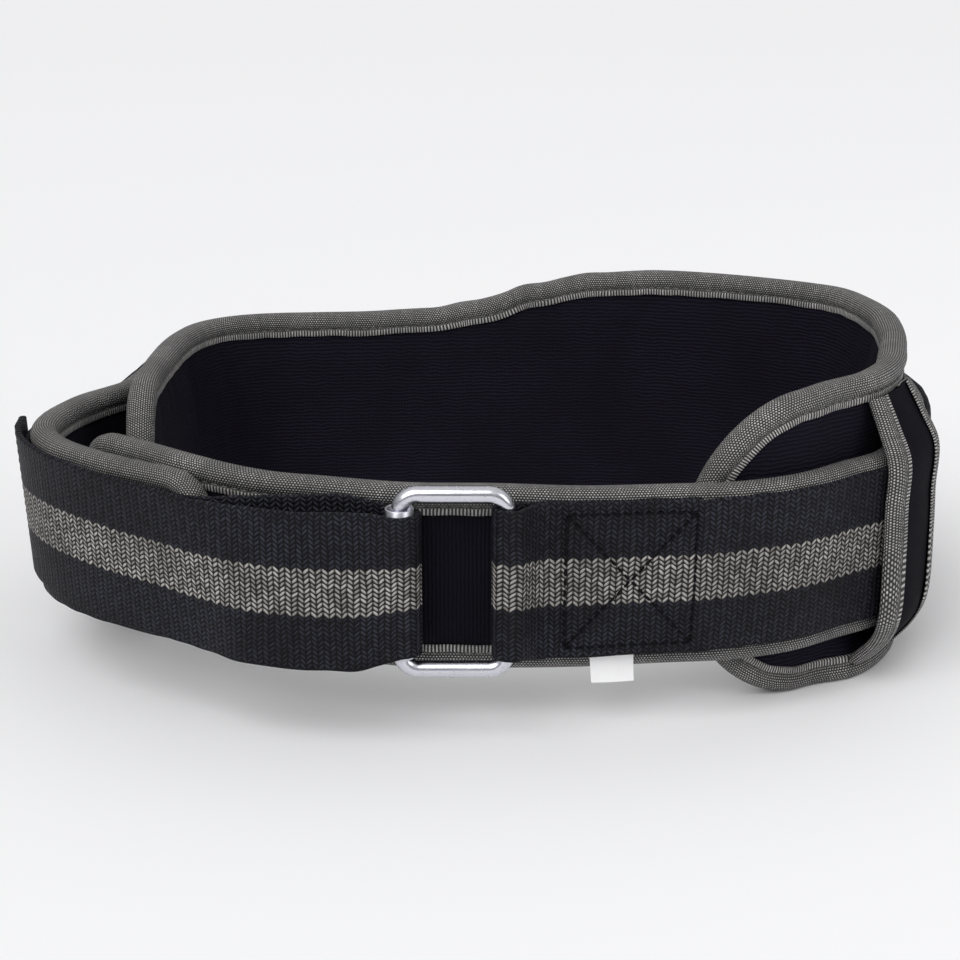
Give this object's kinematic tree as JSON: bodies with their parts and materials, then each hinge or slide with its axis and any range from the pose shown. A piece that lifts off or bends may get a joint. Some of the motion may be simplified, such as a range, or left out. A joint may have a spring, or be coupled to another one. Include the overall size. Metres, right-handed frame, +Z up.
{
  "type": "weightlifting belt",
  "caption": "Fastened padded lifting belt: tall back pad, narrow belt, striped webbing strap through a steel roller ring, and a keeper.",
  "frame": {"origin": "on the floor under the middle of the bounding box", "axes": "+X to the wearer-side right of the picture along the longest extent, +Y from the buckle to the back of the loop, +Z up, along the shortest extent"},
  "size_m": [0.304, 0.22, 0.102],
  "materials": {
    "belt_cloth": "matte fine rib",
    "edge_tape": "matte ribbed tape",
    "pad_lining": "matte fine rib",
    "keeper_cloth": "smooth matte",
    "strap_webbing": "herringbone weave with a slight sheen",
    "ring_steel": "polished",
    "roller_steel": "polished",
    "tag_cloth": "smooth"
  },
  "bodies": {
    "root": {"belt_body": "belt_cloth", "belt_binding": "edge_tape", "back_pad": "pad_lining", "pad_binding": "edge_tape", "keeper_panel": "keeper_cloth", "keeper_binding_near": "edge_tape", "keeper_binding_far": "edge_tape", "webbing": "strap_webbing", "buckle_ring": "ring_steel", "buckle_roller": "roller_steel", "size_tag": "tag_cloth"}
  },
  "joints": []
}
